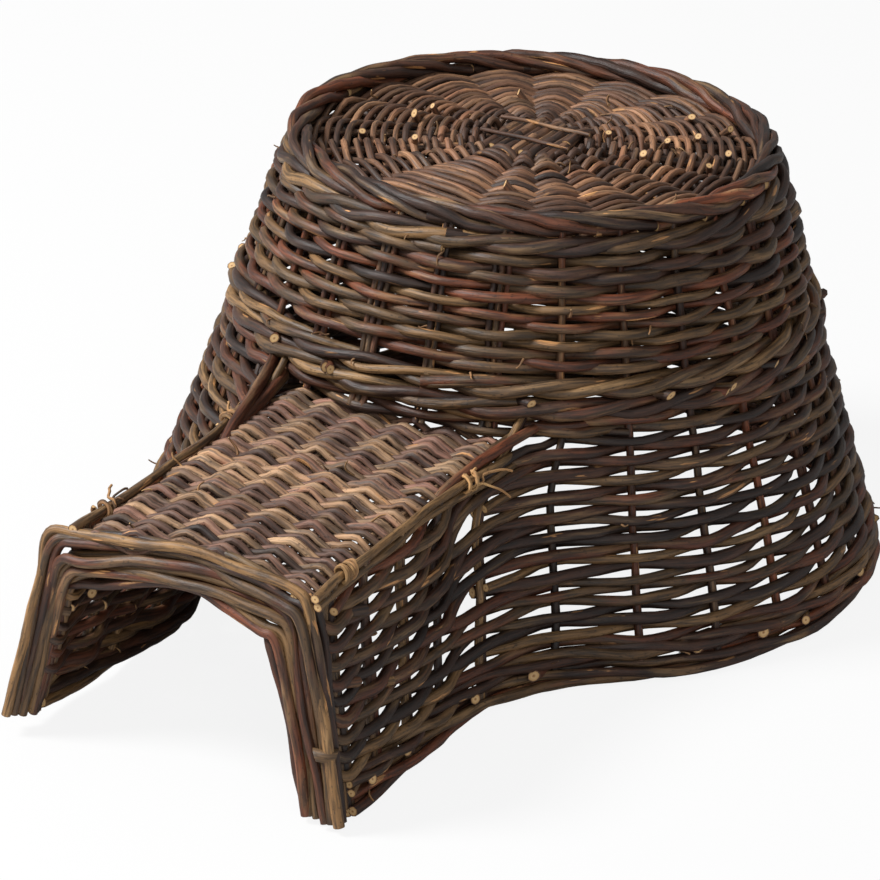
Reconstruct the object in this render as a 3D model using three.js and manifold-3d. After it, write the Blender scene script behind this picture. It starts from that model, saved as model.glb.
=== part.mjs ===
// A hedgehog house of woven willow: an upturned basket dome with a low tunnel for its way in.
// Lengths are in millimetres. The rim stands on the XY plane, Z is up and the tunnel runs to -Y.
import * as THREE from "three";
import { mergeVertices } from "three/addons/utils/BufferGeometryUtils.js";
import Module from "manifold-3d";

const wasm = await Module();
wasm.setup();

// The dome, to the outside of its rods. Its waist and the tunnel's mouth stand at their shares of
// its height.
const houseHeight = 240;
const waistShare = 0.567;
const mouthShare = 0.5;
const rimRadius = 210;
const waistRadius = 167;
const topRadius = 136;
const roofCrown = 4;
const waistHeight = waistShare * houseHeight;

// The tunnel, to the outside of its rods.
const mouthReach = 376;
const mouthLean = 12;
const tunnelRise = 4;
const mouthHeight = mouthShare * houseHeight;
const tunnelTopAtDome = mouthHeight + tunnelRise;
const footHalfWidth = 97;
const roofHalfWidth = 69;
const mouthCornerRadius = 14;
const mouthCrown = 8;
const leftFootLift = 8;
const roofTuck = 14;

// Rods of willow, by radius, and the play between rods that touch.
const gap = 0.3;
const stakeRadius = 2.3;
const wallWeaverRadius = 2.6;
const skirtWeaverRadius = 2.6;
const waleRodRadius = 2.6;
const borderRodRadius = 3.1;
const slathRadius = 3.2;
const bindingRadius = 1.3;
const spokeRadius = 2.2;
const roofWeaverRadius = 2.1;
const matStickRadius = 2;
const matWeaverRadius = 2.1;
const edgeRodRadius = 2.4;
const mouthRodRadius = 2.4;
const lashingRadius = 1;

// Counts of stakes and rods. The rows of the weave follow from the room there is for them.
const stakeGroups = 9;
const groupStakes = 3;
const tunnelStakes = 3;
const flareStakes = 2;
const waleRows = 4;
const wallRods = 9;
const skirtBands = 5;
const buttEnds = 13;
const slathSticks = 5;
const matSticks = 6;
const mouthRods = 5;
const borderRods = 3;
const rimRollStrokes = 6;
const lashingTurns = 3;

// Small lengths: the cut that gives the rim its flat rest, and how far ends stand out.
const restCut = 0.9;
const neckHeight = 6;
const buttEndLength = 8;
const slathPitch = 9.5;
const bindingReach = 13;
const edgeRodShift = 3;
const matOpening = 2.6;
const roofOpening = 0.5;
const roofHub = 46;

// Sides of a rod's section: the long rows of the weave have the fewest.
const weaverSides = 4;
const rodSides = 5;
const ringsPerStroke = 2;
const arcRings = 4;
const crownSpans = 4;

// A weaver leans as it passes a stake, so its centre stands off by more than the two radii, and
// most in the crowned roof of the tunnel. A rod that another one follows ends this share of a
// stroke short of it.
const leanShare = 1.13;
const matLeanShare = 1.2;
const rodEndShare = 0.3;

const wallStakes = stakeGroups * groupStakes;
const strokeAngle = (2 * Math.PI) / wallStakes;
const up = new THREE.Vector3(0, 0, 1);
const { lerp, smoothstep } = THREE.MathUtils;
const standOff = (radius) => leanShare * (stakeRadius + gap + radius);

function onCircle(radius, angle, z) {
  return new THREE.Vector3(radius * Math.sin(angle), -radius * Math.cos(angle), z);
}

// A rod along a row of points, with closed ends. It is of one thickness, or tapers from a first
// radius to a last. Its section swings with each bend and never twists.
function rod(points, thickness, sides = rodSides) {
  const [first, final] = Array.isArray(thickness) ? thickness : [thickness, thickness];
  const last = points.length - 1;
  const positions = [];
  const index = [];
  const across = new THREE.Vector3();
  const heading = new THREE.Vector3();
  const swing = new THREE.Quaternion();
  points.forEach((point, i) => {
    const before = points[Math.max(i - 1, 0)];
    const after = points[Math.min(i + 1, last)];
    const along = after.clone().sub(before).normalize();
    if (i > 0) {
      across.applyQuaternion(swing.setFromUnitVectors(heading, along));
    } else {
      const level = Math.abs(along.z) < Math.SQRT1_2;
      across.copy(level ? up : point.clone().setZ(0)).cross(along).normalize();
    }
    heading.copy(along);
    const over = along.clone().cross(across);
    const radius = lerp(first, final, i / last);
    for (let k = 0; k < sides; k++) {
      const angle = (2 * Math.PI * k) / sides;
      const corner = point.clone();
      corner.addScaledVector(across, radius * Math.cos(angle));
      corner.addScaledVector(over, radius * Math.sin(angle));
      positions.push(...corner.toArray());
    }
  });
  for (let i = 0; i < last; i++) {
    for (let k = 0; k < sides; k++) {
      const turn = (k + 1) % sides;
      const [a, b] = [i * sides + k, i * sides + turn];
      index.push(a, b, b + sides, a, b + sides, a + sides);
    }
  }
  const end = last * sides;
  for (let k = 1; k < sides - 1; k++) {
    index.push(0, k + 1, k, end, end + k, end + k + 1);
  }
  const geometry = new THREE.BufferGeometry();
  geometry.setAttribute("position", new THREE.Float32BufferAttribute(positions, 3));
  geometry.setIndex(index);
  return geometry;
}

// Rods that are one piece are joined as solids.
function toSolid(geometry) {
  const vertProperties = new Float32Array(geometry.attributes.position.array);
  const triVerts = new Uint32Array(geometry.index.array);
  return new wasm.Manifold(new wasm.Mesh({ numProp: 3, vertProperties, triVerts }));
}

function fromSolid(solid) {
  const { vertProperties, triVerts } = solid.getMesh();
  const geometry = new THREE.BufferGeometry();
  geometry.setAttribute("position", new THREE.BufferAttribute(vertProperties, 3));
  geometry.setIndex(new THREE.BufferAttribute(triVerts, 1));
  return geometry;
}

function join(geometries) {
  return geometries.map(toSolid).reduce((sum, solid) => sum.add(solid));
}

// The floor, as a slab to trim what stands on it.
const floorSize = 2 * (mouthReach + rimRadius);
const floorBox = new THREE.BoxGeometry(floorSize, floorSize, rimRadius);
floorBox.deleteAttribute("normal");
floorBox.deleteAttribute("uv");
floorBox.translate(0, 0, -rimRadius / 2);
const floorSlab = toSolid(mergeVertices(floorBox));

// Bark colours, from the dark brown of the walls to the tan of the thin roof rods.
const barks = {
  umber: new THREE.MeshStandardMaterial({ color: 0x4a3327, roughness: 0.7, metalness: 0 }),
  russet: new THREE.MeshStandardMaterial({ color: 0x5a3324, roughness: 0.65, metalness: 0 }),
  olive: new THREE.MeshStandardMaterial({ color: 0x5c4a33, roughness: 0.72, metalness: 0 }),
  tan: new THREE.MeshStandardMaterial({ color: 0x7a6248, roughness: 0.75, metalness: 0 }),
};

const house = new THREE.Group();
function place(name, geometry, bark) {
  geometry.computeVertexNormals();
  const mesh = new THREE.Mesh(geometry, barks[bark]);
  mesh.name = name;
  house.add(mesh);
}

// In a border, rods roll over each other round a shared middle. While one rolls once over, as
// many groups of stakes go by as there are rods side by side.
const rollStrokes = borderRods * groupStakes;
const rollStep = Math.PI / (ringsPerStroke * Math.min(rollStrokes, rimRollStrokes));
const rodApart = (borderRodRadius + gap / 2) / Math.sin(Math.PI / borderRods);
const rollReach = rodApart / Math.cos(rollStep);
const ropeRadius = rollReach + borderRodRadius;
const footRopeHeight = houseHeight - ropeRadius;
const rimRopeHeight = ropeRadius - restCut;

// The stakes' line in the dome: out from the foot border at the top to the waist, then to the rim.
const topLine = topRadius - ropeRadius;
const waistLine = waistRadius - standOff(waleRodRadius) - waleRodRadius;
const rimLine = rimRadius - ropeRadius;
function wallLine(z) {
  if (z < waistHeight) return lerp(rimLine, waistLine, z / waistHeight);
  return lerp(waistLine, topLine, (z - waistHeight) / (footRopeHeight - waistHeight));
}

// The edge of the tunnel's roof runs from the mouth up to where it meets the dome. At the mouth
// the middle of the roof stands higher than its edges, and at the dome it is level with them.
const matTurn = matLeanShare * (matStickRadius + gap + matWeaverRadius);
const matReach = matTurn + matWeaverRadius;
const towardDome = (y) => THREE.MathUtils.clamp((y + mouthReach) / (mouthReach - waistLine), 0, 1);
const roofLine = (y) => lerp(mouthHeight, tunnelTopAtDome, towardDome(y));
const crown = (x, half) => mouthCrown * (1 - (x / half) ** 2);

// The skirt's stake line in plan, at a level from the floor, 0, to the waist, 1. From a mouth
// post it runs along the tunnel wall, swings out in a flare and goes round the back of the dome.
const postInset = standOff(skirtWeaverRadius) + skirtWeaverRadius + gap;
const frontStakes = 2 * groupStakes;
const backStakes = wallStakes - frontStakes;
const sideStakes = 1 + tunnelStakes + flareStakes;
const skirtStakes = backStakes + 2 * sideStakes;
const flareEnd = strokeAngle * (frontStakes / 2);
const sinEnd = Math.sin(flareEnd);
function skirtPlace(index, z, offset = 0) {
  const level = z / waistHeight;
  const side = index < skirtStakes / 2 ? -1 : 1;
  const fromMouth = side < 0 ? index : skirtStakes - 1 - index;
  const back = lerp(rimLine, waistLine, level);
  const half = lerp(footHalfWidth, roofHalfWidth, level) - ropeRadius;
  const post = mouthReach - mouthLean * level - 2 * mouthRodRadius - postInset;
  const flare = (back * sinEnd - half) / (1 - sinEnd);
  const flareY = -(back + flare) * Math.cos(flareEnd);
  const flareFrom = tunnelStakes + 1 / 2;
  const flareTo = flareFrom + flareStakes;
  let point;
  let out;
  if (fromMouth <= flareFrom) {
    point = new THREE.Vector3(side * half, lerp(-post, flareY, fromMouth / flareFrom), z);
    out = new THREE.Vector3(side, 0, 0);
  } else if (fromMouth <= flareTo) {
    const turn = ((Math.PI / 2 - flareEnd) * (fromMouth - flareFrom)) / flareStakes;
    out = new THREE.Vector3(side * Math.cos(turn), -Math.sin(turn), 0);
    point = new THREE.Vector3(side * (half + flare), flareY, z).addScaledVector(out, -flare);
  } else {
    out = onCircle(1, side * (flareEnd + strokeAngle * (fromMouth - flareTo)), 0);
    point = out.clone().multiplyScalar(back).setZ(z);
  }
  return { point: point.addScaledVector(out, offset), out };
}
const skirtPoint = (index, z, offset) => skirtPlace(index, z, offset).point;
const fromPost = (index) => Math.min(index, skirtStakes - 1 - index);

// The foot of the skirt is level but for the left foot of the tunnel, which stands higher. Its
// top lies under the waist round the dome and under the roof along the tunnel.
function skirtFoot(index) {
  const lift = index < skirtStakes / 2 ? leftFootLift : 0;
  return lift * (1 - smoothstep(index, 0, sideStakes));
}
function skirtTop(index) {
  const under = waistHeight - gap;
  const along = roofLine(skirtPoint(index, mouthHeight).y) - 2 * matReach - gap;
  return lerp(along, under, smoothstep(fromPost(index), tunnelStakes + 1, sideStakes + 1));
}

// Border rods: one rolls from below, in, over and out again while it passes the stakes.
function roll(place, phase) {
  const { point, out } = place;
  return point
    .clone()
    .addScaledVector(out, -rollReach * Math.sin(phase))
    .addScaledVector(up, -rollReach * Math.cos(phase));
}
function footPlace(angle) {
  return { point: onCircle(topLine, angle, footRopeHeight), out: onCircle(1, angle, 0) };
}

// Foot border with the dome's stakes. The stakes of a group come up the wall and lie down
// together as one border rod, which rolls over the rods of the next groups and ends against
// the last of them. The stakes of the two front groups end at the waist or over the tunnel.
const lowestFront = Math.floor(groupStakes / 2);
for (let group = 0; group < stakeGroups; group++) {
  const rings = rollStrokes * ringsPerStroke;
  const border = [];
  const rodAt = (stroke) => {
    const angle = strokeAngle * (group * groupStakes + stroke + 1 / 2);
    return roll(footPlace(angle), (2 * Math.PI * stroke) / rollStrokes);
  };
  for (let i = 0; i < rings; i++) border.push(rodAt(i / ringsPerStroke));
  const pieces = [rod(border, borderRodRadius, weaverSides)];
  for (let k = 0; k < groupStakes; k++) {
    const stake = group * groupStakes + k;
    const angle = strokeAngle * (stake + 1 / 2);
    const fromFront = Math.min(stake, wallStakes - 1 - stake);
    const head = rodAt(k);
    const neck = head.clone().setZ(footRopeHeight - ropeRadius - gap);
    const weaveTop = neck.z - neckHeight + gap;
    const points = [head, neck, onCircle(wallLine(weaveTop), angle, weaveTop)];
    if (fromFront >= groupStakes) {
      const foot = rimRopeHeight + ropeRadius + gap;
      points.push(onCircle(waistLine, angle, waistHeight), onCircle(wallLine(foot), angle, foot));
    } else if (fromFront > lowestFront) {
      points.push(onCircle(wallLine(waistHeight + gap), angle, waistHeight + gap));
    } else {
      const foot = tunnelTopAtDome + gap;
      points.push(onCircle(waistLine, angle, waistHeight), onCircle(waistLine, angle, foot));
    }
    pieces.push(rod(points.reverse(), stakeRadius, weaverSides));
  }
  place(`stake_group_${group + 1}`, fromSolid(join(pieces)), group % 2 ? "umber" : "russet");
}

// Wall weave: rods that follow each other up a spiral, in front of one stake and behind the
// next. The stakes are odd in number, so that each round passes them on the other side from the
// round below. Where a rod ends, the next one starts a little further on.
const waleRise = 2 * waleRodRadius + gap;
const waleFrom = waistHeight + gap + waleRodRadius;
const waleTo = waleFrom + waleRows * waleRise;
const wallFrom = waleTo + waleRodRadius + gap + wallWeaverRadius;
const wallTo = footRopeHeight - ropeRadius - neckHeight - wallWeaverRadius;
const wallRows = Math.floor((wallTo - wallFrom) / (2 * wallWeaverRadius + gap));
function spiral(rows, fromZ, toZ, reachAt) {
  const points = [];
  for (let k = 0; k <= rows * wallStakes; k++) {
    const z = lerp(fromZ, toZ, k / (rows * wallStakes));
    points.push(onCircle(wallLine(z) + reachAt(k), strokeAngle * (k + 1 / 2), z));
  }
  return points;
}
const wallReach = standOff(wallWeaverRadius);
const wallPath = spiral(wallRows, wallFrom, wallTo, (k) => (k % 2 ? wallReach : -wallReach));
const rodStart = (k) => Math.floor((k * wallRows * wallStakes) / wallRods);
for (let k = 0; k < wallRods; k++) {
  const path = wallPath.slice(rodStart(k), rodStart(k + 1) + 1);
  const end = path.pop().clone();
  path.push(end.lerp(path.at(-1), rodEndShare));
  place(`wall_weave_${k + 1}`, rod(path, wallWeaverRadius, weaverSides), k % 2 ? "olive" : "umber");
}

// Waist wale: rods that pass in front of two stakes and behind the third, a stake further on
// each round. The cut ends of new rods stand out between the stakes of its lowest round.
const waleReach = standOff(waleRodRadius);
function waleSide(k) {
  return (k + Math.floor(k / wallStakes)) % 3 ? waleReach : -waleReach;
}
const waistPath = spiral(waleRows, waleFrom, waleTo, waleSide);
const waistPieces = [rod(waistPath, waleRodRadius, weaverSides)];
for (let k = 0; k < buttEnds; k++) {
  const stroke = Math.floor((k * wallStakes) / buttEnds);
  const root = waistPath[stroke].clone().lerp(waistPath[stroke + 1], 1 / 2);
  const out = root.clone().setZ(0).normalize();
  const along = waistPath[stroke].clone().sub(waistPath[stroke + 1]).normalize();
  const end = root.clone().addScaledVector(out.add(along).normalize(), buttEndLength);
  waistPieces.push(rod([root, end], waleRodRadius * Math.SQRT1_2));
}
place("waist_wale", fromSolid(join(waistPieces)), "umber");

// Skirt weave: in each band, a weaver goes back and forth from mouth post to mouth post round
// the back. It turns about the post and comes back on the other side of every stake.
const skirtReach = standOff(skirtWeaverRadius);
const lowRow = (index) => skirtFoot(index) + 2 * ropeRadius + 2 * gap + skirtWeaverRadius;
const highRow = (index) => skirtTop(index) - skirtWeaverRadius;
const skirtRoom = highRow(0) - lowRow(0);
const skirtRows = 1 + Math.floor(skirtRoom / (2 * skirtWeaverRadius + gap));
const bandStart = (band) => Math.floor((band * skirtRows) / skirtBands);
for (let band = 0; band < skirtBands; band++) {
  const path = [];
  const lastRow = bandStart(band + 1) - 1;
  for (let row = bandStart(band); row <= lastRow; row++) {
    const zAt = (index, at) => lerp(lowRow(index), highRow(index), at / (skirtRows - 1));
    for (let k = 0; k < skirtStakes; k++) {
      const index = row % 2 ? skirtStakes - 1 - k : k;
      const side = (index + row) % 2 ? skirtReach : -skirtReach;
      path.push(skirtPoint(index, zAt(index, row), side));
    }
    if (row === lastRow) break;
    const end = row % 2 ? 0 : skirtStakes - 1;
    const turn = skirtPoint(end, zAt(end, row + 1 / 2));
    turn.y -= skirtReach;
    path.push(turn);
  }
  const bark = band % 2 ? "olive" : "umber";
  place(`skirt_weave_${band + 1}`, rod(path, skirtWeaverRadius, weaverSides), bark);
}

// Lintel: the weave that closes the dome's front between the tunnel's roof and the waist.
const lintelPath = [];
const lintelRise = 2 * skirtWeaverRadius + gap;
const lintelStakes = 2 * (lowestFront + 1);
const lintelFrom = tunnelTopAtDome + gap + skirtWeaverRadius;
const lintelRoom = waistHeight - skirtWeaverRadius - lintelFrom;
const lintelRows = 1 + Math.floor(lintelRoom / lintelRise);
for (let row = 0; row < lintelRows; row++) {
  const z = lintelFrom + row * lintelRise;
  for (let k = 0; k < lintelStakes; k++) {
    const stake = row % 2 ? lintelStakes - 1 - k : k;
    const angle = strokeAngle * (stake - (lintelStakes - 1) / 2);
    const side = (stake + row) % 2 ? skirtReach : -skirtReach;
    lintelPath.push(onCircle(waistLine + side, angle, z));
  }
  if (row === lintelRows - 1) break;
  const edge = (lintelStakes / 2 - 1 / 2) * strokeAngle + skirtReach / waistLine;
  lintelPath.push(onCircle(waistLine, row % 2 ? -edge : edge, z + lintelRise / 2));
}
if (lintelRows > 0) place("lintel_weave", rod(lintelPath, skirtWeaverRadius, weaverSides), "umber");

// Rim border: a long rod goes back and forth along the foot of the skirt and rolls over itself.
// It is cut flat where it stands on the floor.
const rimPath = [];
const rimMiddle = (skirtStakes - 1) / 2;
for (let lap = 0; lap < borderRods; lap++) {
  const rings = (skirtStakes - 1) * ringsPerStroke;
  for (let i = 0; i <= rings; i++) {
    const index = (lap % 2 ? rings - i : i) / ringsPerStroke;
    const place = skirtPlace(index, rimRopeHeight + skirtFoot(index));
    const turn = (index - rimMiddle) / rimRollStrokes + lap / borderRods;
    rimPath.push(roll(place, 2 * Math.PI * turn));
  }
}
const rimRope = toSolid(rod(rimPath, borderRodRadius, weaverSides)).subtract(floorSlab);
place("rim_border", fromSolid(rimRope), "russet");

// Tunnel frames: the tunnel's stakes on each side, bent into the rod that edges its roof.
const archBack = (z) => -(mouthReach - (mouthLean * z) / waistHeight) + 2 * mouthRodRadius + gap;
const indexAt = (side, fromMouth) => (side < 0 ? fromMouth : skirtStakes - 1 - fromMouth);
function edgeAt(index) {
  const z = roofLine(skirtPoint(index, mouthHeight).y) - edgeRodRadius;
  return skirtPoint(index, z, edgeRodShift);
}
for (const side of [-1, 1]) {
  const edge = [];
  const front = edgeAt(indexAt(side, 0));
  front.y = archBack(front.z);
  edge.push(front);
  const pieces = [];
  for (let k = 0; k < sideStakes; k++) {
    const index = indexAt(side, k);
    const foot = skirtFoot(index) + rimRopeHeight + ropeRadius + gap;
    const head = edgeAt(index);
    edge.push(head);
    const neck = skirtPoint(index, skirtTop(index));
    pieces.push(rod([skirtPoint(index, foot), neck, head], stakeRadius, weaverSides));
  }
  pieces.unshift(rod(edge, edgeRodRadius));
  const name = side < 0 ? "tunnel_frame_left" : "tunnel_frame_right";
  place(name, fromSolid(join(pieces)), "umber");
}

// Roof of the dome: a cross of sticks whose ends fan out as spokes to the foot border. Two
// thin rods bind the upper sticks down where they cross the lower ones.
const roofRim = topLine - ropeRadius + gap;
const bindingLift = slathRadius + gap / 2 + slathRadius + gap + bindingRadius;
const roofMiddle = houseHeight - bindingLift - bindingRadius;
const roofHeight = (radius) => roofMiddle - roofCrown * (radius / roofRim) ** 2;
const spokes = 4 * slathSticks;
const spokeAngle = (2 * Math.PI) / spokes;
const middleStick = (slathSticks - 1) / 2;
const slathHalf = middleStick * slathPitch + slathRadius + gap;
for (const set of [0, 1]) {
  const lay = (set ? -1 : 1) * (slathRadius + gap / 2);
  for (let k = 0; k < slathSticks; k++) {
    const offset = (k - middleStick) * slathPitch;
    const fan = spokeAngle * (k - middleStick);
    const arms = [-1, 1].map((end) => {
      const arm = [new THREE.Vector3(offset, end * slathHalf, 0)];
      for (const radius of [roofHub, roofRim]) {
        arm.push(new THREE.Vector3(radius * Math.sin(fan), end * radius * Math.cos(fan), 0));
      }
      arm.forEach((point, i) => {
        point.z = roofHeight(Math.hypot(point.x, point.y)) + (i ? 0 : lay);
        if (set) point.set(point.y, point.x, point.z);
      });
      return arm;
    });
    const [near, far] = arms;
    const pieces = [rod([near[0], far[0]], slathRadius)];
    arms.forEach((arm) => pieces.push(rod(arm, [slathRadius, spokeRadius])));
    place(`slath_stick_${set * slathSticks + k + 1}`, fromSolid(join(pieces)), "russet");
  }
}
for (const side of [-1, 1]) {
  const z = roofMiddle + bindingLift;
  const ends = [-1, 1].map((end) => new THREE.Vector3(end * slathHalf, side * bindingReach, z));
  place(side < 0 ? "binding_rod_front" : "binding_rod_back", rod(ends, bindingRadius), "tan");
}

// Roof weave: two weavers chase each other outwards, one over each spoke that the other is
// under, from the fan of the sticks to the foot border.
const roofTouch = (slathRadius + spokeRadius) / 2 + gap + roofWeaverRadius;
const roofReach = (radius) => Math.hypot(roofTouch, (2 * roofTouch ** 2) / (radius * spokeAngle));
const roofPitch = 2 * (2 * roofWeaverRadius + roofOpening);
const roofStart = roofHub + roofWeaverRadius;
const roofStrokes = Math.floor((spokes * (roofRim - roofWeaverRadius - roofStart)) / roofPitch);
for (const weaver of [0, 1]) {
  const path = [];
  for (let k = 0; k <= roofStrokes - (spokes / 2) * weaver; k++) {
    const radius = roofStart + (roofPitch * (k + (spokes / 2) * weaver)) / spokes;
    const side = (k + weaver) % 2 ? 1 : -1;
    const z = roofHeight(radius) + side * roofReach(radius);
    path.push(onCircle(radius, spokeAngle * k, z));
  }
  place(`roof_weaver_${weaver + 1}`, rod(path, roofWeaverRadius, weaverSides), "olive");
}

// Roof of the tunnel: a mat of thin rods woven over and under long sticks that reach in
// beneath the dome's front.
const matHalf = roofHalfWidth - ropeRadius - stakeRadius - gap;
const matEdge = matHalf - matTurn - matWeaverRadius;
const matFront = archBack(mouthHeight + mouthCrown) + gap;
const matBack = roofTuck - waistLine;
const matMiddle = (x, y) => roofLine(y) - matReach + crown(x, matHalf) * (1 - towardDome(y));
for (let k = 0; k < matSticks; k++) {
  const x = lerp(-matEdge, matEdge, k / (matSticks - 1));
  const ends = [matFront, matBack].map((y) => new THREE.Vector3(x, y, matMiddle(x, y)));
  place(`tunnel_roof_stick_${k + 1}`, rod(ends, matStickRadius), "olive");
}
const matPitch = 2 * matWeaverRadius + matOpening;
const matRows = Math.floor((matBack - matFront) / matPitch);
const matPath = [];
for (let row = 0; row < matRows; row++) {
  const y = matFront + matWeaverRadius + gap + row * matPitch;
  for (let k = 0; k < matSticks; k++) {
    const stick = row % 2 ? matSticks - 1 - k : k;
    const x = lerp(-matEdge, matEdge, stick / (matSticks - 1));
    const side = (stick + row) % 2 ? matTurn : -matTurn;
    matPath.push(new THREE.Vector3(x, y, matMiddle(x, y) + side));
  }
  if (row === matRows - 1) break;
  const x = row % 2 ? -matEdge - matTurn : matEdge + matTurn;
  matPath.push(new THREE.Vector3(x, y + matPitch / 2, matMiddle(x, y)));
}
place("tunnel_roof_mat", rod(matPath, matWeaverRadius, weaverSides), "tan");

// Mouth: bent rods side by side in a leaning arch, each inside the last. Their feet are cut
// flat where they stand on the floor.
const archFoot = footHalfWidth - mouthRodRadius;
const archTop = mouthHeight - mouthRodRadius;
const splay = Math.atan((footHalfWidth - roofHalfWidth) / mouthHeight);
for (let k = 0; k < mouthRods; k++) {
  const inset = k * (2 * mouthRodRadius + gap);
  const centreZ = archTop - inset - mouthCornerRadius;
  const run = mouthCornerRadius + inset + centreZ * Math.sin(splay);
  const centreX = archFoot - run / Math.cos(splay);
  const legFrom = (foot) => {
    const points = [];
    const cornerX = centreX + mouthCornerRadius * Math.cos(splay);
    const cornerZ = centreZ + mouthCornerRadius * Math.sin(splay);
    const length = (cornerZ - foot) / Math.cos(splay) + borderRodRadius;
    const x = cornerX + length * Math.sin(splay);
    points.push([x, cornerZ - length * Math.cos(splay)]);
    for (let i = 0; i <= arcRings; i++) {
      const angle = lerp(splay, Math.PI / 2, i / arcRings);
      const arcX = centreX + mouthCornerRadius * Math.cos(angle);
      points.push([arcX, centreZ + mouthCornerRadius * Math.sin(angle)]);
    }
    return points;
  };
  const right = legFrom(0);
  const left = legFrom(leftFootLift + borderRodRadius).map(([x, z]) => [-x, z]);
  const top = [];
  for (let i = 1; i < crownSpans; i++) {
    const x = lerp(centreX, -centreX, i / crownSpans);
    top.push([x, archTop - inset + crown(x, centreX)]);
  }
  const path = [...right, ...top, ...left.reverse()].map(([x, z]) => {
    return new THREE.Vector3(x, archBack(z) - gap - mouthRodRadius, z);
  });
  const arch = toSolid(rod(path, mouthRodRadius)).subtract(floorSlab);
  place(`mouth_rod_${k + 1}`, fromSolid(arch), k % 2 ? "umber" : "russet");
}

// Lashings: strips of bark wound round the roof's edge rods at their two ends.
const lashingReach = (edgeRodRadius + gap + lashingRadius) / Math.cos(Math.PI / rodSides);
for (const side of [-1, 1]) {
  for (const far of [0, 1]) {
    const from = edgeAt(indexAt(side, far * tunnelStakes));
    const to = edgeAt(indexAt(side, far * tunnelStakes + 1));
    const along = to.clone().sub(from).normalize();
    const across = up.clone().cross(along).normalize();
    const over = along.clone().cross(across);
    const steps = lashingTurns * rodSides;
    const coil = [];
    for (let i = 0; i <= steps; i++) {
      const angle = (2 * Math.PI * i) / rodSides;
      const run = (i - steps / 2) * ((2 * lashingRadius + gap) / rodSides);
      const point = from.clone().lerp(to, 1 / 2).addScaledVector(along, run);
      point.addScaledVector(across, lashingReach * Math.cos(angle));
      coil.push(point.addScaledVector(over, lashingReach * Math.sin(angle)));
    }
    const name = `lashing_${side < 0 ? "left" : "right"}_${far ? "dome" : "mouth"}`;
    place(name, rod(coil, lashingRadius, weaverSides), "tan");
  }
}

// The part stands with the middle of its footprint at the origin.
const middle = new THREE.Box3().setFromObject(house).getCenter(new THREE.Vector3());
house.position.set(-middle.x, -middle.y, 0);
const part = new THREE.Group();
part.add(house);

export default part;
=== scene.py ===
# %% [markdown]
# # A hedgehog house of woven willow
# A basket turned upside down, with a low woven tunnel as its way in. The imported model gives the
# construction, and this file gives it real willow: tapered rods with their bark, bent round each
# other row by row. Everything is in metres, and the house stands on the floor at height zero.

# %% The frame
import random
from math import atan, cos, pi, radians, sin, tan

import bmesh
import bpy
from mathutils import Matrix, Vector, noise
from mathutils.geometry import interpolate_bezier


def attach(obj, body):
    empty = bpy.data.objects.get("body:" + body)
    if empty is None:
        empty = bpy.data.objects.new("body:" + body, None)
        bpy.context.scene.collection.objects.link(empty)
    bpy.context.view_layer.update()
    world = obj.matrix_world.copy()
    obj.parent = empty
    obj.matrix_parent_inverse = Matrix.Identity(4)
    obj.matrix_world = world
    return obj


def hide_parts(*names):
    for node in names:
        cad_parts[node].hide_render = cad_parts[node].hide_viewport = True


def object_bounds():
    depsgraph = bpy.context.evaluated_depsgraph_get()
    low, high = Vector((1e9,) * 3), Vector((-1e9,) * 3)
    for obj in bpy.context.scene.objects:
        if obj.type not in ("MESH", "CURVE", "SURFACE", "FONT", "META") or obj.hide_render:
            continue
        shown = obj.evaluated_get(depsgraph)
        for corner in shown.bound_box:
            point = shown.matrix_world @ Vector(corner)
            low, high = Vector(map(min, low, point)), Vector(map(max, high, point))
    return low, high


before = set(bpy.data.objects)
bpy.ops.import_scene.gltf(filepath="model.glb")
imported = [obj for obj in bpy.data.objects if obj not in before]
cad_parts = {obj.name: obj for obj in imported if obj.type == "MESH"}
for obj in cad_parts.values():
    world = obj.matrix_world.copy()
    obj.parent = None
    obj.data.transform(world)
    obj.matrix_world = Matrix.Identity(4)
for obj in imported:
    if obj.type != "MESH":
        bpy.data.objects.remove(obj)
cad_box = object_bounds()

mm = 0.001
print("solids in the frame:", len(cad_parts))

# %% [markdown]
# ## The size of the house
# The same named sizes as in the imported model, so that each rod lies where a solid says that it
# does. The solids' boxes alone don't give the radii and heights that a woven line needs. The
# middle of the dome stands a little behind the origin, because the tunnel takes up the front.

# %% Sizes
dome_y = 84.3 * mm
house_height = 240 * mm
rim_radius = 210 * mm
waist_radius = 167 * mm
waist_height = 136 * mm
top_radius = 136 * mm
roof_crown = 4 * mm

mouth_reach = 376 * mm
mouth_lean = 12 * mm
mouth_height = 120 * mm
tunnel_top_at_dome = 124 * mm
foot_half_width = 97 * mm
roof_half_width = 69 * mm
mouth_corner_radius = 14 * mm
mouth_crown = 8 * mm
left_foot_lift = 8 * mm
left_splay = 8 * mm

stakes = 27
stroke = 2 * pi / stakes
rope_radius = 6.9 * mm
stake_radius = 2.25 * mm
wall_rod_radius = 3.0 * mm
skirt_rod_radius = 3.1 * mm
print("the house is", round(rim_radius * 2 / mm), "mm wide and", round(house_height / mm), "mm high")

# %% [markdown]
# The dome is a cone that bends inwards at the waist, so a place on it needs only a height and an
# angle. The stakes stand on this line, and a rod's stand-off is how far in front of it or behind
# it the rod passes.

# %% Places on the dome
up = Vector((0, 0, 1))
stand_off = 3.9 * mm
wale_stand_off = 5.0 * mm
waist_line = waist_radius - 8.5 * mm
rim_line = rim_radius - rope_radius
top_line = top_radius - rope_radius
top_rope_height = house_height - rope_radius
rim_rope_height = rope_radius - 0.9 * mm


def mix(a, b, share):
    return a + (b - a) * share


def ease(share):
    """From zero to one, slow at both ends."""
    share = min(max(share, 0), 1)
    return share * share * (3 - 2 * share)


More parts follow.
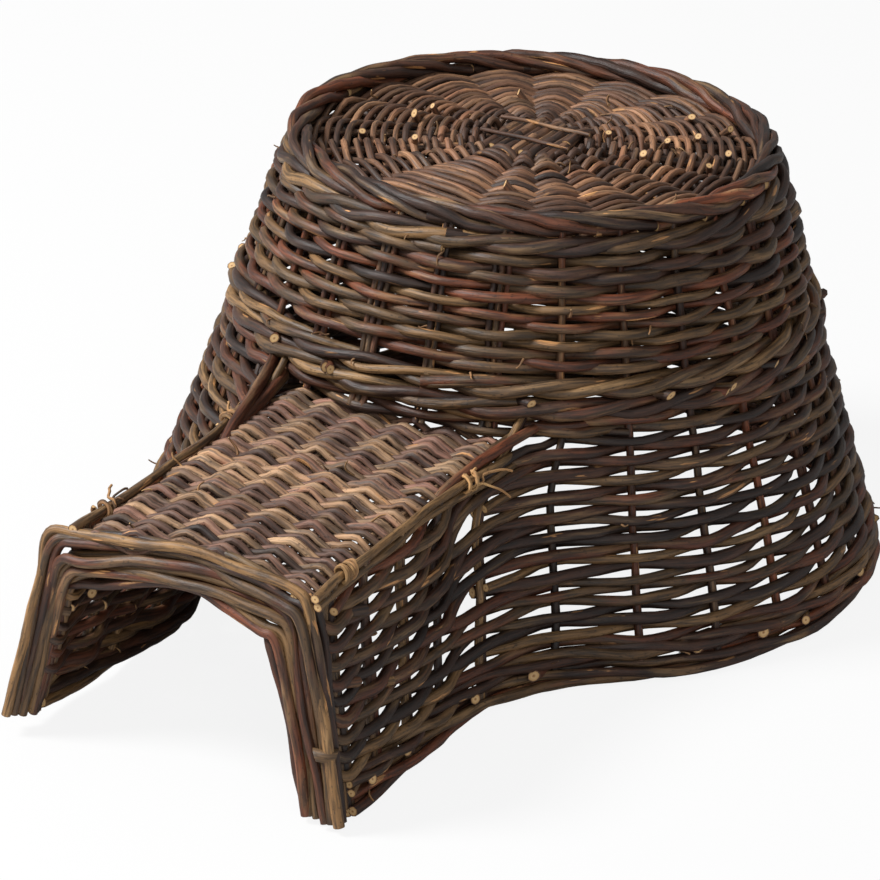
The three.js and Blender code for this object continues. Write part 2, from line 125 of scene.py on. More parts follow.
def on_circle(radius, angle, z):
    """A point round the dome's middle. Angle zero faces the tunnel and the angle grows to the right."""
    return Vector((radius * sin(angle), dome_y - radius * cos(angle), z))


def stake_angle(k):
    return stroke * (k + 0.5)


def wall_line(z):
    """How far the stakes stand from the dome's middle at a height."""
    if z < waist_height:
        return mix(rim_line, waist_line, z / waist_height)
    share = (z - waist_height) / (top_rope_height - waist_height)
    return mix(waist_line, top_line, share)


print("stakes at the waist stand", round(2e3 * pi * waist_line / stakes, 1), "mm apart")

# %% [markdown]
# A willow rod is springy, so it runs smoothly through the places where the weave holds it. A
# curve object could do this too, but the next step needs plain points along the rod. All chance
# and all noise start from a fixed number, so each run bends the same rods.

# %% Bending
chance = random.Random(7)
toss = chance.uniform
noise.seed_set(7)
crook = 1.4 * mm


def bend(knots, steps):
    """A smooth line through knots, as a springy rod bends."""
    line = []
    ends = [2 * knots[0] - knots[1], *knots, 2 * knots[-1] - knots[-2]]
    for a, b, c, d in zip(ends, ends[1:], ends[2:], ends[3:]):
        line += interpolate_bezier(b, b + (c - a) / 6, c - (d - b) / 6, c, steps + 1)[:-1]
    return line + [knots[-1]]


def ring_turns(line):
    """The heading and a direction across the rod at each point, turned with its bends."""
    before = [line[0], *line[:-1]]
    after = [*line[1:], line[-1]]
    headings = [(b - a).normalized() for a, b in zip(before, after)]
    across = [headings[0].orthogonal().normalized()]
    for old, new in zip(headings, headings[1:]):
        across.append(old.rotation_difference(new) @ across[-1])
    return headings, across


low_corner, high_corner = cad_box


def kept_inside(point, room):
    """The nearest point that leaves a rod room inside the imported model's box."""
    limits = zip(point, low_corner, high_corner)
    return Vector([min(max(p, low + room), high - room) for p, low, high in limits])


print("a rod wanders by up to", round(crook / mm, 1), "mm")

# %% [markdown]
# A rod is a thin cone of wood in a tube of bark. It could be a curve with a bevel, but then its
# bark could not know which way is along the rod. So each rod starts as a flat grid, a strip of
# bark, that is rolled round the line and closed. It wanders a little and has knots and dents, as
# no real rod is true. Two values are kept in its points for the materials: its grain, the place
# on the bark as seen along the rod, and its tone, one set of chance numbers for the whole rod.

# %% Rolling
scratch = bpy.data.meshes.new("scratch")


def add_rod(bundle, line, butt, tip=None, sides=8, tone=None, rough=0.085, slant=0.0, skin=0):
    """Rolls one rod along a line into a bundle, thick at its butt and thin at its tip."""
    tip = butt if tip is None else tip
    tone = chance.random() if tone is None else tone
    seed = toss(0, 100)
    light = chance.gauss(0.5, 0.2)
    strip = bmesh.new()
    tones = strip.verts.layers.float_color.new("tone")
    grains = strip.verts.layers.float_vector.new("grain")
    last = len(line) - 1
    bmesh.ops.create_grid(strip, x_segments=last, y_segments=sides, size=1)
    run = [0.0]
    for a, b in zip(line, line[1:]):
        run.append(run[-1] + (b - a).length)
    drift = [noise.noise_vector(Vector((r * 32, seed, 0))) * crook for r in run]
    line = [kept_inside(p + d, 1.2 * max(butt, tip)) for p, d in zip(line, drift)]
    headings, across = ring_turns(line)
    for vert in strip.verts:
        i = round((vert.co.x + 1) / 2 * last)
        turn = pi * (vert.co.y + 1)
        over = headings[i].cross(across[i])
        side = across[i] * cos(turn) + over * sin(turn)
        thick = mix(butt, tip, i / last)
        knot = noise.noise(Vector((seed, run[i] * 45, 0)))
        dent = noise.noise(side * 1.2 + Vector((0, seed, run[i] * 110)))
        thick *= 1 + rough * (1.3 * max(knot, -0.3) + dent)
        lean = slant * thick * cos(turn) if i in (0, last) else 0
        vert.co = line[i] + side * thick + headings[i] * (lean if i else -lean)
        vert[grains] = (thick * cos(turn), thick * sin(turn), run[i])
        vert[tones] = (tone, light, seed / 100, thick / (10 * mm))
    close_rod(strip, sides, skin)
    strip.to_mesh(scratch)
    strip.free()
    bundle.from_mesh(scratch)


def close_rod(strip, sides, skin):
    """Joins the rolled strip along its seam and closes its two ends with cut wood."""
    bmesh.ops.remove_doubles(strip, verts=strip.verts, dist=1e-6)
    for face in strip.faces:
        face.smooth = True
        face.material_index = skin
    rims = [edge for edge in strip.edges if edge.is_boundary]
    for edge in rims:
        edge.smooth = False
    for end in bmesh.ops.holes_fill(strip, edges=rims, sides=sides)["faces"]:
        end.material_index = 1
    bmesh.ops.recalc_face_normals(strip, faces=strip.faces)


def add_stub(bundle, root, end, thick, slant=0.7):
    """The end of a rod that was cut off with a knife and stands out of the weave."""
    add_rod(bundle, bend([root, root.lerp(end, 0.5), end], 3), thick, thick, slant=slant)


# %% [markdown]
# A piece of the house is a bundle of many rods in one mesh, as hundreds of single rods would be
# hard to handle. It stands for the solids that it replaces, and rides on the house's one body.

# %% Bundles
def new_bundle():
    """An empty bundle of rods."""
    bundle = bmesh.new()
    bundle.verts.layers.float_color.new("tone")
    bundle.verts.layers.float_vector.new("grain")
    return bundle


def new_object(name, shape, skins):
    """An object of a shape, with the materials of its faces."""
    mesh = bpy.data.meshes.new(name)
    shape.to_mesh(mesh)
    shape.free()
    for skin in skins:
        mesh.materials.append(skin)
    made = bpy.data.objects.new(name, mesh)
    bpy.context.scene.collection.objects.link(made)
    return made


def finish_piece(name, bundle, skins, nodes):
    """Makes an object of a bundle of rods, in place of the solids that it stands for."""
    piece = new_object(name, bundle, skins)
    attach(piece, "root")
    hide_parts(*nodes)
    print(name, "has", len(piece.data.polygons), "faces")


# %% [markdown]
# The plainest weave is one rod in front of one stake and behind the next. Its way is a list of
# knots, one at each stake and one between. It is cut into rods only behind stakes, where no cut
# end shows.

# %% Weaving
def stray(point, reach):
    """A point moved a little by chance, as no rod lies quite true."""
    return point + Vector([toss(-reach, reach) for _ in range(3)])


def pass_stakes(place, start, end, behind_first, reach, lift):
    """A rod's way in front of one stake and behind the next: its knots, and whether each is behind."""
    knots = []
    step = 0.5 if end > start else -0.5
    for i in range(int(2 * abs(end - start)) + 1):
        behind = i % 4 == (0 if behind_first else 2)
        side = 0.3 if i % 2 else (-1 if behind else 1)
        point = stray(place(start + step * i, side * reach), 0.75 * mm)
        knots.append((point + up * side * lift, behind))
    return knots


def cut_rods(knots, length):
    """Cuts a long way into rods of about a length. Each starts and ends behind a stake."""
    tucked = [i for i, (_, behind) in enumerate(knots) if behind]
    rods = []
    start = 0
    while start < len(knots) - 1:
        wanted = start + length + chance.randint(-length // 6, length // 6)
        later = [i for i in tucked if i >= wanted and i < len(knots) - length // 4]
        end = later[0] if later else len(knots) - 1
        rods.append([point for point, _ in knots[start : end + 1]])
        start = end
    return rods


# %% [markdown]
# ## Bark and cut wood
# Wiring the nodes of a material one by one takes many lines, so the shader maths is written as
# sums on signals: a signal is one output socket, and adding two of them adds a Math node.

# %% Signals
class Signal:
    """One output socket of a material's nodes."""

    def __init__(self, tree, socket=None):
        self.tree = tree
        self.socket = socket

    def node(self, kind, settings=None, inputs=None, output=0):
        """Adds a node of a kind. Its settings come first, then the values or links of its sockets."""
        made = self.tree.nodes.new("ShaderNode" + kind)
        for name, value in (settings or {}).items():
            if name == "stops":
                stops = made.color_ramp.elements
                while len(stops) < len(value):
                    stops.new(1)
                for stop, (place, paint) in zip(stops, value.items()):
                    stop.position = place
                    stop.color = (*colour(paint), 1)
            else:
                setattr(made, name, value)
        for name, value in (inputs or {}).items():
            if isinstance(value, Signal):
                self.tree.links.new(value.socket, made.inputs[name])
            else:
                made.inputs[name].default_value = value
        return Signal(self.tree, made.outputs[output])

    def into(self, shader, name):
        """Links the signal to a socket of a shader."""
        self.tree.links.new(self.socket, shader.inputs[name])

    def maths(self, operation, a, b):
        return self.node("Math", {"operation": operation}, {0: a, 1: b})

    def __add__(self, other):
        return self.maths("ADD", self, other)

    def __sub__(self, other):
        return self.maths("SUBTRACT", self, other)

    def __rsub__(self, other):
        return self.maths("SUBTRACT", other, self)

    def __mul__(self, other):
        return self.maths("MULTIPLY", self, other)

    def __truediv__(self, other):
        return self.maths("DIVIDE", self, other)

    __radd__ = __add__
    __rmul__ = __mul__

    def between(self, low, high):
        """From zero at low to one at high."""
        limits = {"Value": self, "From Min": low, "From Max": high}
        return self.node("MapRange", {"interpolation_type": "SMOOTHSTEP"}, limits)


def colour(text):
    """A colour written as in a paint box, as light."""
    parts = [int(text[i : i + 2], 16) / 255 for i in (0, 2, 4)]
    return [p / 12.92 if p <= 0.04045 else ((p + 0.055) / 1.055) ** 2.4 for p in parts]


def new_material(name):
    """A material, its main shader and a start for its signals."""
    material = bpy.data.materials.new(name)
    material.use_nodes = True
    tree = material.node_tree
    return material, tree.nodes["Principled BSDF"], Signal(tree)


# %% [markdown]
# Willow bark is dark and has a soft shine. Each rod has a colour of its own, from nearly black
# through red brown to olive. Fine furrows run along it, patches of grey and tan lie over it, and
# it is darker in the low streaks of its relief and in small specks. A flat pattern would slide
# over the bends, so all noise follows the rod's own grain and is drawn out along it.

# %% Bark
torn_bark = "a5774a"


def bark_noise(grain, seed, along, around, detail=3.0):
    """Noise on a rod's bark. Along and around say how fine it is in each direction."""
    stretch = {0: grain, 1: (around, around, along)}
    place = grain.node("VectorMath", {"operation": "MULTIPLY"}, stretch)
    inputs = {"Vector": place, "W": seed * 90, "Scale": 1.0, "Detail": detail}
    return grain.node("TexNoise", {"noise_dimensions": "4D"}, inputs)


def make_bark(name, stops, patch, rough):
    """The bark of a family of rods. Stops are the colours that its rods come in."""
    material, shader, start = new_material(name)
    tone = start.node("Attribute", {"attribute_name": "tone"}, output=0)
    kind, light, seed = [start.node("SeparateColor", inputs={0: tone}, output=i) for i in range(3)]
    grain = start.node("Attribute", {"attribute_name": "grain"}, output=1)
    mottle = bark_noise(grain, seed, 45, 120)
    streak = bark_noise(grain, seed, 60, 800)
    furrow = bark_noise(grain, seed, 110, 1300, 4.0)
    speck = bark_noise(grain, seed, 500, 900, 1.0)
    patchy = bark_noise(grain, seed, 22, 180, 4.0).between(0.5, 0.72) * 0.6
    torn = bark_noise(grain, seed, 35, 260).between(0.655, 0.69)

    place = (kind + (mottle - 0.5) * 0.6).between(-0.1, 1.1)
    coat = start.node("ValToRGB", {"stops": stops}, {0: place})
    blend = {"data_type": "RGBA"}
    coat = start.node("Mix", blend, {0: patchy, 6: coat, 7: (*colour(patch), 1)}, 2)
    coat = start.node("Mix", blend, {0: torn, 6: coat, 7: (*colour(torn_bark), 1)}, 2)
    dark = (streak.between(0.36, 0.62) * 0.8 + 0.4) * (light * 1.1 + 0.45)
    dark = dark * (1 - speck.between(0.62, 0.72) * 0.55)
    shade = start.node("CombineColor", inputs={0: dark, 1: dark, 2: dark})
    multiply = {"data_type": "RGBA", "blend_type": "MULTIPLY"}
    painted = start.node("Mix", multiply, {0: 1.0, 6: coat, 7: shade}, 2)
    painted.into(shader, "Base Color")

    gloss = rough + (mottle - 0.5) * 0.25 + (streak - 0.5) * 0.2
    gloss.into(shader, "Roughness")
    shader.inputs["Specular IOR Level"].default_value = 0.42
    relief = furrow * 0.6 + streak * 0.4 + mottle * 0.5 + speck * 0.2
    bump = start.node("Bump", inputs={"Height": relief, "Strength": 1.15, "Distance": 0.5 * mm})
    bump.into(shader, "Normal")
    return material


# %% [markdown]
# Four families of rods: the walls' dark rods, the roof's rods, which are paler, the mat's, which
# are the palest, and bast, the inner bark that lashings are made of.

# %% Colours of the bark
umber_stops = {0.0: "261812", 0.28: "412618", 0.5: "61321c", 0.68: "4b3724"}
umber_stops.update({0.85: "64492b", 1.0: "745838"})
roof_stops = {0.0: "36241b", 0.35: "533726", 0.65: "67442f", 1.0: "7b583e"}
mat_stops = {0.0: "4e372d", 0.35: "6d4f40", 0.6: "775344", 0.8: "84654a", 1.0: "8a6d52"}
bast_stops = {0.0: "6e4d30", 0.5: "8f6a44", 1.0: "ad8555"}
wall_bark = make_bark("wall_bark", umber_stops, "826746", 0.55)
roof_bark = make_bark("roof_bark", roof_stops, "8c6b4e", 0.6)
mat_bark = make_bark("mat_bark", mat_stops, "9c8163", 0.65)
bast = make_bark("bast", bast_stops, "c4a06e", 0.75)
print("barks:", [m.name for m in (wall_bark, roof_bark, mat_bark, bast)])

# %% [markdown]
# A cut end shows pale wood with a dark speck of pith in its middle and a thin dark edge of bark.
# The grain knows how far each point is from the rod's middle, so a row of colours is enough.

# %% Cut wood
def make_cut_wood():
    """The wood of a rod's cut end, from its pith out to its bark."""
    material, shader, start = new_material("cut_wood")
    grain = start.node("Attribute", {"attribute_name": "grain"}, output=1)
    tone = start.node("Attribute", {"attribute_name": "tone"}, output=3)
    flat = {0: grain, 1: (1, 1, 0)}
    spot = start.node("VectorMath", {"operation": "MULTIPLY"}, flat)
    from_pith = start.node("VectorMath", {"operation": "LENGTH"}, {0: spot}, 1)
    share = from_pith / (tone * (10 * mm))
    rings = {0.0: "6e4a2c", 0.16: "a67c4f", 0.32: "c9a87a", 0.72: "b8925f", 0.86: "55392a"}
    mottle = start.node("TexNoise", inputs={"Vector": grain, "Scale": 900.0})
    base = start.node("ValToRGB", {"stops": rings}, {0: share + (mottle - 0.5) * 0.25})
    base.into(shader, "Base Color")
    shader.inputs["Roughness"].default_value = 0.75
    bump = start.node("Bump", inputs={"Height": mottle, "Strength": 0.4, "Distance": 0.3 * mm})
    bump.into(shader, "Normal")
    return material


cut_wood = make_cut_wood()
wall_skins = (wall_bark, cut_wood)
torn_skins = (wall_bark, cut_wood, bast)
roof_skins = (roof_bark, cut_wood)
torn_roof_skins = (roof_bark, cut_wood, bast)
print("cut wood has", len(cut_wood.node_tree.nodes), "nodes")

# %% [markdown]
# Where rods were bent hard their bark has split, and thin strips of it stand off. Each is a short
# thin rod with a bast skin that starts inside the weave and wanders outwards.

# %% Torn strips
def add_tear(bundle, root, out, along):
    """A thin loose strip of bark that curls away from a place on the weave."""
    length = toss(4, 11) * mm
    knots = [root - out * 1.5 * mm]
    heading = (out * toss(0.3, 1) + along * toss(-1, 1)).normalized()
    for i in range(4):
        heading = (heading + Vector([toss(-0.6, 0.6) for _ in range(3)])).normalized()
        knots.append(knots[-1] + heading * length / 4)
    thin = toss(0.5, 0.9) * mm
    add_rod(bundle, bend(knots, 2), thin, thin * 0.5, 4, toss(0, 0.5), 0.3, skin=2)


def on_wall(low, high, proud):
    """A place by chance on the dome's wall between two heights in mm, and the ways out and along."""
    k = toss(0, stakes)
    z = toss(low, high) * mm
    out = on_circle(1, stake_angle(k), 0) - Vector((0, dome_y, 0))
    return on_circle(wall_line(z) + proud, stake_angle(k), z), out, out.cross(up)


# %% [markdown]
# The house is a basket turned upside down, so what was woven as its foot is now on top. The
# stakes lie down there one after the other. Each rolls from below, in, over the top and out again
# while it passes four stakes, so four of them lie together like the strands of a rope.

# %% The border round the roof
border_strokes = 4
border_radius = 3.15 * mm
border_apart = border_radius / sin(pi / border_strokes) * 0.96
border_height = house_height - border_apart - border_radius


def roll_round(angle, turn, reach):
    """A point of a border rod that has rolled by a turn round the rope's middle."""
    radius = top_line - reach * sin(turn)
    return on_circle(radius, angle, border_height - reach * cos(turn))


def add_border_rod(bundle, k):
    """The end of a stake, rolled down into the border."""
    roll = []
    rings = 3 * border_strokes
    lag = toss(-0.15, 0.15)
    proud = toss(0.93, 1.06)
    for i in range(-1, rings + 2):
        share = i / rings
        angle = stake_angle(k) + stroke * (border_strokes * share + lag)
        turn = 2 * pi * (share + 0.03 * toss(-1, 1))
        reach = border_apart * (proud + 0.06 * toss(-1, 1))
        roll.append(roll_round(angle, turn, reach))
    butt = border_radius * toss(0.85, 1.22)
    add_rod(bundle, bend(roll, 3), butt, butt * 0.8, tone=toss(0.0, 0.55))


print("a border rod lies", round(border_apart / mm, 2), "mm from the rope's middle")

# %% [markdown]
# A stake is one to three rods side by side, thinner near the border. Over the tunnel the stakes
# end early, because there is no wall below them.

# %% Stakes
stake_levels = (top_rope_height - 5 * mm, 200 * mm, 168 * mm, waist_height, 90 * mm, 45 * mm)


def side_by_side(number):
    """How far each of a few rods lies from the middle of them all."""
    return [(j - (number - 1) / 2) * 3.6 * mm for j in range(number)]


def add_stake(bundle, k):
    """The upright part of a stake, from the border down to its foot."""
    from_front = min(k, stakes - 1 - k)
    foot = 9 * mm if from_front >= 3 else (waist_height if from_front > 1 else 126 * mm)
    number = chance.choice((1, 1, 2, 2, 3))
    thin = stake_radius * (1 if number == 1 else 0.8)
    for shift in side_by_side(number):
        knots = []
        for z in (*stake_levels, foot):
            if z < foot or (knots and z > knots[-1].z):
                continue
            point = on_circle(wall_line(z), stake_angle(k) + shift / wall_line(z), z)
            knots.append(stray(point, 0.5 * mm))
        add_rod(bundle, bend(knots, 4), thin * 0.9, thin * 1.1, 6, toss(0.1, 0.6))


for group in range(9):
    bundle = new_bundle()
    for k in range(3 * group, 3 * group + 3):
        add_border_rod(bundle, k)
        add_stake(bundle, k)
    name = f"stakes_{group + 1}"
    finish_piece(name, bundle, wall_skins, [f"stake_group_{group + 1}"])

# %% [markdown]
# The stakes are odd in number, so each round of rods passes them on the other side from the round
# below. Level rings would be simpler, but a weaver goes on where a round ends, so the rows are
# one spiral.

# %% Wall weave
wall_rows = 13
wall_low = 159.5 * mm
wall_high = 215 * mm
wall_stand_off = 4.9 * mm
wall_lift = 1.3 * mm


def up_wall(k, side):
    """The spiral of the wall's rows. It climbs a row with each round, but lies level at its ends."""
    share = (k / stakes - 0.5) / (wall_rows - 1)
    z = mix(wall_low, wall_high, min(max(share, 0), 1))
    return on_circle(wall_line(z) + side, stake_angle(k), z)


upper_wall = new_bundle()
spiral = pass_stakes(up_wall, 0, wall_rows * stakes, True, wall_stand_off, wall_lift)
wall_rods = cut_rods(spiral, 48)
for rod in wall_rods:
    thick = wall_rod_radius * toss(0.92, 1.14)
    add_rod(upper_wall, bend(rod, 3), thick * 1.08, thick * 0.85)
print("the upper wall is woven of", len(wall_rods), "rods")

# %% [markdown]
# A wale is a rope of three rods. Each passes in front of two stakes and behind the third, comes
# out from behind low and slants up over the others in front. One wale closes the wall under the
# border, and a double one goes round the waist, where the skirt begins.

# %% Wales
wale_rods = 3


def wale(bundle, place, passes, height, reach, thick):
    """A round of waling over a number of passed stakes."""
    for j in range(wale_rods):
        knots = []
        for k in range(passes):
            cycle = (k + j) % wale_rods
            side = reach * (1 + 0.12 * (wale_rods - 1 - cycle)) if cycle else -0.7 * reach
            rise = (cycle - 0.5) / (wale_rods - 1) if cycle else 0.5
            knots.append((stray(place(k, height * rise, side), 0.5 * mm), cycle == 0))
        for rod in cut_rods(knots, 20):
            size = thick * toss(0.92, 1.12)
            add_rod(bundle, bend(rod, 6), size * 1.08, size * 0.85)


def round_dome(low):
    """The places of a wale that starts at a height of the dome's wall."""

    def place(k, rise, side):
        return on_circle(wall_line(low + rise) + side, stake_angle(k), low + rise)

    return place


def nodes_of(start):
    """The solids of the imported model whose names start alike."""
    return [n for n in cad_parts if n.startswith(start)]


overlap = 3
wale(upper_wall, round_dome(217.5 * mm), stakes + overlap, 9 * mm, 3.6 * mm, 3.3 * mm)
for _ in range(16):
    add_tear(upper_wall, *on_wall(163, 224, 6.5 * mm))
finish_piece("upper_wall", upper_wall, torn_skins, nodes_of("wall_weave"))

# %% The waist
waist = new_bundle()
for low in (135.5 * mm, 146 * mm):
    wale(waist, round_dome(low), stakes + overlap, 10 * mm, wale_stand_off, 3.0 * mm)
for k in range(stakes):
    if chance.random() < 0.35:
        continue
    for j in range(chance.choice((1, 1, 2))):
        angle = stroke * (k + toss(0.7, 1.1) + 0.25 * j)
        z = (143 + toss(-3, 3)) * mm
        root = on_circle(wall_line(z) - 4 * mm, angle - 0.06, z - 2 * mm)
        end = on_circle(wall_line(z) + toss(8, 11) * mm, angle + 0.02, z + 1 * mm)
        add_stub(waist, root, end, toss(2.2, 2.9) * mm)
for _ in range(14):
    add_tear(waist, *on_wall(146, 161, 7.5 * mm))
finish_piece("waist_wale_rods", waist, torn_skins, ["waist_wale"])

# %% [markdown]
# ## The skirt and the tunnel's walls
# The rows of the skirt run on as the tunnel's side walls. In plan they follow one line:
# straight along the tunnel, out in a flare, and round the back of the dome. Near the top the
# flare leans back to the dome's wall.

# %% The line of the skirt
tunnel_stakes = 3
flare_stakes = 2
side_stakes = 1 + tunnel_stakes + flare_stakes
skirt_stakes = (stakes - 6) + 2 * side_stakes
flare_from = tunnel_stakes + 0.5
flare_to = flare_from + flare_stakes
flare_end = stroke * 3
lean_from = 104 * mm
lean_over = 30 * mm
arch_back = 4.8 * mm
post_inset = 13.3 * mm


def from_post(index):
    """How many stakes a place is away from the nearer post of the mouth."""
    return min(index, skirt_stakes - 1 - index)


def skirt_place(index, z, offset=0.0):
    """A point of the skirt and the way out. Whole indexes are its stakes, from the left post."""
    level = z / waist_height
    side = -1 if index < skirt_stakes / 2 else 1
    from_mouth = index if side < 0 else skirt_stakes - 1 - index
    back = mix(rim_line, waist_line, level)
    half = mix(foot_half_width, roof_half_width, level) - rope_radius
    post = mouth_reach - mouth_lean * level - arch_back - post_inset
    flare = (back * sin(flare_end) - half) / (1 - sin(flare_end))
    flare_y = -(back + flare) * cos(flare_end)
    if from_mouth <= flare_from:
        half += left_splay * (side < 0) * (1 - level) * (1 - from_mouth / flare_from)
        point = Vector((side * half, mix(-post, flare_y, from_mouth / flare_from), z))
        out = Vector((side, 0, 0))
    elif from_mouth <= flare_to:
        turn = (pi / 2 - flare_end) * (from_mouth - flare_from) / flare_stakes
        out = Vector((side * cos(turn), -sin(turn), 0))
        point = Vector((side * (half + flare), flare_y, z)) - flare * out
        meet = mix(0.6, 1, (from_mouth - flare_from) / flare_stakes) * flare_end
        wall = Vector((side * back * sin(meet), -back * cos(meet), z))
        lean = ease((z - lean_from) / lean_over) * ease((from_post(index) - tunnel_stakes) / 0.8)
        point = point.lerp(wall, lean)
    else:
        angle = side * (flare_end + stroke * (from_mouth - flare_to))
        out = Vector((sin(angle), -cos(angle), 0))
        point = (back * out).xy.to_3d() + z * up
    return point + out * offset + Vector((0, dome_y, 0)), out


print("the skirt has", skirt_stakes, "stakes")


# %% The edges of the skirt
def toward_dome(y):
    """From zero at the mouth to one at the dome."""
    share = (y - dome_y + mouth_reach) / (mouth_reach - waist_line)
    return min(max(share, 0), 1)


def roof_line(y):
    """The edge of the tunnel's roof, from the mouth up to the dome."""
    return mix(mouth_height, tunnel_top_at_dome, toward_dome(y))


def skirt_foot(index):
    """The lower edge. At the left post it is lifted off the floor."""
    lift = left_foot_lift if index < skirt_stakes / 2 else 0
    return lift * (1 - ease(index / side_stakes))


def skirt_top(index):
    """The upper edge: under the tunnel's roof, then steeply up to the waist."""
    along = roof_line(skirt_place(index, mouth_height)[0].y) - 11 * mm
    share = (from_post(index) - tunnel_stakes + 0.4) / 1.7
    return mix(along, waist_height + 0.5 * mm, ease(share))


print("skirt tops in mm:", [round(skirt_top(index) / mm) for index in range(side_stakes + 1)])

# %% [markdown]
# The dome's side is higher than the tunnel's, so the skirt needs more rows there. Rows that just
# spread out would leave holes. Weavers fill such a place with packing: short rows that turn back
# before they reach the tunnel. All other rows are one long way that turns round at the posts.

# %% Skirt weave
skirt_rows = 23
packing_rows = (7, 8, 15, 16)
packing_from = tunnel_stakes + 1


def row_height(index, row):
    """The height of a row. The packing rows take up no room along the tunnel."""
    room = ease((from_post(index) - tunnel_stakes + 0.5) / 2)
    rooms = [room if r in packing_rows else 1 for r in range(skirt_rows)]
    low = skirt_foot(index) + 2 * rope_radius + 9 * mm
    high = skirt_top(index) - skirt_rod_radius
    return mix(low, high, sum(rooms[:row]) / sum(rooms[:-1]))


def row_way(row):
    """The way of one row. Every other row goes back the other way."""
    first = packing_from if row in packing_rows else 0
    ends = [first, skirt_stakes - 1 - first]
    if row % 2:
        ends.reverse()

    def along_row(index, side):
        return skirt_place(index, row_height(index, row), side)[0]

    return pass_stakes(along_row, *ends, (ends[0] + row) % 2 == 1, stand_off, 0.3 * mm)


full = []
packing = []
for row in range(skirt_rows):
    knots = row_way(row)
    if row in packing_rows:
        packing.append(knots)
        continue
    if full:
        turn = full[-1][0].lerp(knots[0][0], 0.5)
        turn.y -= stand_off
        full.append((turn, False))
    full += knots
skirt = new_bundle()
skirt_rods = [rod for way in [full, *packing] for rod in cut_rods(way, 50)]
for rod in skirt_rods:
    thick = skirt_rod_radius * toss(0.9, 1.08)
    add_rod(skirt, bend(rod, 3), thick * 1.1, thick * 0.85, tone=toss(0.0, 0.85))
print("the skirt is woven of", len(skirt_rods), "rods")

# %% [markdown]
# A light wale holds the foot of the skirt, and butt ends stand out of its walls near the mouth.

# %% Foot and ends of the skirt
def round_foot(k, rise, side):
    """The places of the wale along the foot of the skirt."""
    z = skirt_foot(k) + 2 * rope_radius - 1 * mm + rise
    return skirt_place(k, z, side)[0]


def on_skirt(low, high, proud):
    """The same for a place on the skirt."""
    index = toss(0, skirt_stakes - 1)
    point, out = skirt_place(index, toss(low, high) * mm, proud)
    return point, out, out.cross(up)


wale(skirt, round_foot, skirt_stakes, 9 * mm, stand_off, 2.8 * mm)
for _ in range(18):
    add_tear(skirt, *on_skirt(20, 110, 6 * mm))
ends_at = [(0.3, 92), (0.35, 74), (1.2, 96), (1.8, 62), (32.4, 40), (31.6, 66), (31.3, 98), (30.7, 54)]
for index, height in ends_at:
    side = -6 * mm if index < skirt_stakes / 2 else 6 * mm
    root = skirt_place(index + 0.3, height * mm, -side / 2)[0]
    end = skirt_place(index, height * mm, side)[0]
    add_stub(skirt, root, end, toss(2.6, 3.4) * mm, slant=0.6)
finish_piece("skirt", skirt, torn_skins, nodes_of("skirt_weave"))

# %% [markdown]
# A few rows over the tunnel's roof close the front of the dome up to the waist.

# %% Lintel
lintel = new_bundle()
lintel_low = 126.5
lintel_pitch = 4.6
for row in range(3):
    knots = []
    for k in range(-4, 4):
        side = stand_off if (k + row) % 2 else -stand_off
        z = (lintel_low + lintel_pitch * row) * mm
        knots.append(stray(on_circle(waist_line + side, stake_angle(k), z), 0.6 * mm))
    add_rod(lintel, bend(knots, 6), skirt_rod_radius, skirt_rod_radius * 0.85)
finish_piece("lintel", lintel, wall_skins, ["lintel_weave"])

# %% [markdown]
# The house stands on this rope. Four rods lie together round the foot and change places as they
# go, and cut ends stand out between them. A rod is pushed up where it would go below the floor.

# %% Rim border
rim_border = new_bundle()
rim_rods = 4
rim_rod_radius = 3 * mm
rim_reach = 4.2 * mm
rim_strokes = 8
for j in range(rim_rods):
    knots = []
    for i in range(2 * (skirt_stakes - 1) + 1):
        index = i / 2
        turn = 2 * pi * (index / rim_strokes + j / rim_rods)
        z = rim_rope_height + skirt_foot(index) - rim_reach * cos(turn)
        point = skirt_place(index, z, rim_reach * sin(turn))[0]
        knots.append((stray(point, 0.5 * mm), sin(turn) < -0.6))
    for rod in cut_rods(knots, 26):
        thick = rim_rod_radius * toss(0.93, 1.1)
        rod = [Vector((p.x, p.y, max(p.z, 1.05 * thick))) for p in rod]
        add_rod(rim_border, bend(rod, 4), thick * 1.05, thick * 0.85, tone=toss(0.1, 0.8))
for index in range(1, skirt_stakes - 1):
    if chance.random() < 0.2:
        continue
    place = index + toss(0.2, 0.8)
    z = rim_rope_height + skirt_foot(place) + toss(5, 10) * mm
    root = skirt_place(place - 0.25, z - 2 * mm, -2 * mm)[0]
    end = skirt_place(place, z, toss(5, 7.5) * mm)[0]
    add_stub(rim_border, root, end, toss(2.3, 3.2) * mm)
for _ in range(10):
    add_tear(rim_border, *on_skirt(8, 20, 6.5 * mm))
finish_piece("rim_border_rods", rim_border, torn_skins, ["rim_border"])

# %% [markdown]
# ## The roof of the dome
# Here the basket was begun. Five thick sticks lie across five others, two thin rods tie them
# down, and their ends fan out as spokes. Thinner sticks fill the gaps. A stick tapers to both
# ends, so each is made as two rods that start in the middle.

# %% The cross of sticks
slath_radius = 3.3 * mm
slath_pitch = 9.5 * mm
spoke_radius = 2.0 * mm
roof_rim = top_line - 7 * mm
roof_middle = house_height - 11.5 * mm
spokes = 20
spoke_angle = 2 * pi / spokes
stick_reaches = (-roof_rim, -46 * mm, -23 * mm, 0, 23 * mm, 46 * mm, roof_rim)
fan_from = 40 * mm
filler_reaches = (-25 * mm, -9 * mm, 9 * mm, 25 * mm)


def roof_height(radius):
    """The height of the spokes. The roof falls a little towards its edge."""
    return roof_middle - roof_crown * (radius / roof_rim) ** 2


